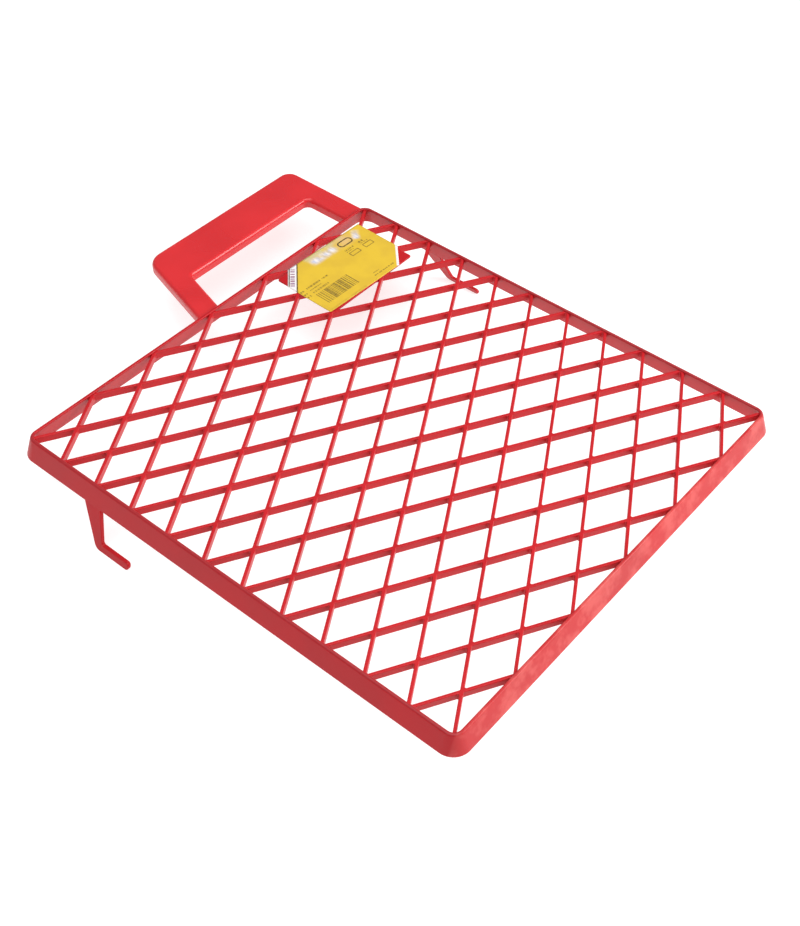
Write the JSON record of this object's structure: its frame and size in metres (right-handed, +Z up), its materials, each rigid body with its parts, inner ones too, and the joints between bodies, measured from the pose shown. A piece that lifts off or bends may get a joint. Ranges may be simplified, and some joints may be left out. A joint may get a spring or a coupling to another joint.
{
  "type": "paint roller scraper grid",
  "caption": "Rectangular plastic scraper grid with a diamond rib lattice in a flared rim, an offset loop handle on one end and two side hooks for a bucket's rim.",
  "frame": {"origin": "on the level of the hooks' flat undersides, under the middle of the overall length and width", "axes": "+Y along the grid's length, from the foot edge to the handle; +X across it, towards the side that the handle is offset to; +Z up, out of the scraping face"},
  "size_m": [0.283, 0.3436, 0.0322],
  "materials": {
    "red_plastic": "semi-gloss injection moulded polypropylene, bright red",
    "label_sheet": "yellow printed self-adhesive label with a satin face"
  },
  "bodies": {
    "root": {"rim_handle_side": "red_plastic", "rim_left_side": "red_plastic", "rim_foot_side": "red_plastic", "rim_right_side": "red_plastic", "rib_lattice": "red_plastic", "label_plate": "red_plastic", "handle_grip": "red_plastic", "handle_left_arm": "red_plastic", "handle_right_arm": "red_plastic", "left_hook": "red_plastic", "right_hook": "red_plastic", "label": "label_sheet"}
  },
  "joints": []
}
